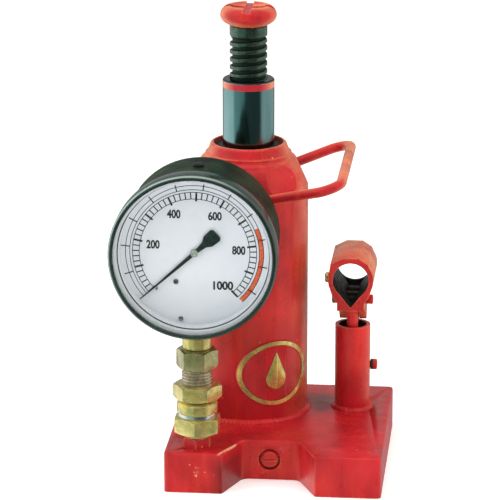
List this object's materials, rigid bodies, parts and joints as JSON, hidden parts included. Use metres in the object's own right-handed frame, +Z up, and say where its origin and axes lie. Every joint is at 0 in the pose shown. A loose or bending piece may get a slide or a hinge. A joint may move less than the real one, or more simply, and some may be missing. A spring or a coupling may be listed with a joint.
{
  "type": "hydraulic hand pump",
  "caption": "Bottle-type hydraulic jack: a lever-worked hand pump, a lifting ram with an extension screw, and a pressure gauge on one base.",
  "frame": {"origin": "on the base's underside, directly below the lifting ram's axis", "axes": "+Z up along the ram, -Y towards the gauge's dial and the open end of the lever socket, +X towards the hand pump"},
  "size_m": [0.1838, 0.1842, 0.3178],
  "materials": {
    "red_enamel": "gloss enamel, brush and cast texture under it",
    "black_enamel": "satin baked enamel",
    "dial_white": "matt white print ground",
    "pointer_black": "matt black",
    "hard_chrome": "ground and oiled hard chrome",
    "dark_steel": "oil-blackened",
    "steel": "turned",
    "zinc_steel": "bright zinc",
    "brass": "yellow, slightly oxidised",
    "bronze": "bored",
    "copper": "annealed",
    "badge_metal": "gilt rim round dark enamel",
    "seal_rubber": "nitrile",
    "window_glass": "clear"
  },
  "bodies": {
    "base": {"base_casting": "red_enamel", "weld_beads": "red_enamel", "tank_tube": "red_enamel", "tank_head": "red_enamel", "cylinder_barrel": "steel", "cylinder_gasket": "copper", "guide_bush": "bronze", "rod_seal": "seal_rubber", "ram_wiper": "seal_rubber", "filler_plug": "seal_rubber", "carry_handle": "red_enamel", "badge_plate": "badge_metal", "pump_column": "red_enamel", "pump_barrel": "steel", "link_lower_pin": "dark_steel", "suction_spring": "steel", "oil_strainer": "copper", "discharge_spring": "steel", "discharge_plug": "steel", "relief_ball": "steel", "relief_spring": "steel", "relief_screw": "steel", "gallery_plugs": "steel", "port_boss": "red_enamel", "lower_fitting": "brass", "sealing_washer": "zinc_steel", "swivel_collar": "brass", "union_nut": "brass", "threaded_nipple": "brass", "top_nut": "brass", "gauge_socket": "brass", "gauge_case": "black_enamel", "gauge_bezel": "black_enamel", "gauge_window": "window_glass", "window_gasket": "dial_white", "dial_plate": "dial_white", "dial_fixings": "steel", "bourdon_tube": "brass", "movement_frame": "brass", "movement_screws": "steel", "vent_plug": "seal_rubber"},
    "ram": {"ram": "hard_chrome", "piston_seal": "seal_rubber"},
    "saddle": {"saddle": "red_enamel"},
    "extension_screw": {"extension_screw": "dark_steel"},
    "plunger": {"pump_plunger": "hard_chrome", "plunger_seal": "seal_rubber"},
    "link": {"pump_link": "red_enamel"},
    "lever": {"lever_socket": "red_enamel", "plunger_pin": "dark_steel", "link_pin": "dark_steel", "lever_lock_screw": "brass"},
    "suction_ball": {"suction_ball": "steel"},
    "discharge_ball": {"discharge_ball": "steel"},
    "release_ball": {"release_ball": "steel"},
    "release_screw": {"release_screw": "red_enamel"},
    "pointer": {"pointer": "pointer_black", "pinion_shaft": "steel"},
    "sector": {"sector_gear": "brass"}
  },
  "joints": [
    {"name": "ram_lift", "type": "slide", "parent": "base", "child": "ram", "axis": [0, 0, 1], "range_m": [-0.044, 0.095]},
    {"name": "saddle_lift", "type": "slide", "parent": "ram", "child": "saddle", "axis": [0, 0, 1], "range_m": [-0.0371, 0.0302]},
    {"name": "screw_turn", "type": "hinge", "parent": "saddle", "child": "extension_screw", "pos_m": [0, 0, 0.3045], "axis": [0, 0, 1], "range_deg": [-2430, 1980]},
    {"name": "plunger_stroke", "type": "slide", "parent": "base", "child": "plunger", "axis": [0, 0, 1], "range_m": [-0.0025, 0.0095]},
    {"name": "link_swing", "type": "hinge", "parent": "base", "child": "link", "pos_m": [0.0735, 0.009, 0.0586], "axis": [1, 0, 0], "range_deg": [-0.8, 2.9]},
    {"name": "lever_swing", "type": "hinge", "parent": "link", "child": "lever", "pos_m": [0.0735, 0.014, 0.1093], "axis": [1, 0, 0], "range_deg": [-40, 10]},
    {"name": "suction_lift", "type": "slide", "parent": "base", "child": "suction_ball", "axis": [0, 0, -1], "range_m": [0, 0.001], "deforming": ["suction_spring"]},
    {"name": "discharge_lift", "type": "slide", "parent": "base", "child": "discharge_ball", "axis": [0, 1, 0], "range_m": [0, 0.001], "deforming": ["discharge_spring"]},
    {"name": "release_travel", "type": "slide", "parent": "base", "child": "release_ball", "axis": [0, -1, 0], "range_m": [0, 0.00225]},
    {"name": "release_turn", "type": "hinge", "parent": "release_ball", "child": "release_screw", "pos_m": [0.0216, -0.0753, 0.0145], "axis": [0, -1, 0], "range_deg": [0, 541]},
    {"name": "pointer_turn", "type": "hinge", "parent": "base", "child": "pointer", "pos_m": [-0.0265, -0.1055, 0.17], "axis": [0, 1, 0], "range_deg": [0, 268]},
    {"name": "sector_turn", "type": "hinge", "parent": "base", "child": "sector", "pos_m": [-0.0265, -0.1004, 0.1425], "axis": [0, 1, 0], "range_deg": [-26.9, 0.1]}
  ],
  "couplings": [
    {"joint": "screw_turn", "follows": "saddle_lift", "rad_per_m": 1142.4},
    {"joint": "plunger_stroke", "follows": "lever_swing", "m_per_rad": -0.0127},
    {"joint": "link_swing", "follows": "lever_swing", "ratio": -0.066},
    {"joint": "release_turn", "follows": "release_travel", "rad_per_m": 4188.8},
    {"joint": "sector_turn", "follows": "pointer_turn", "ratio": -0.1}
  ]
}
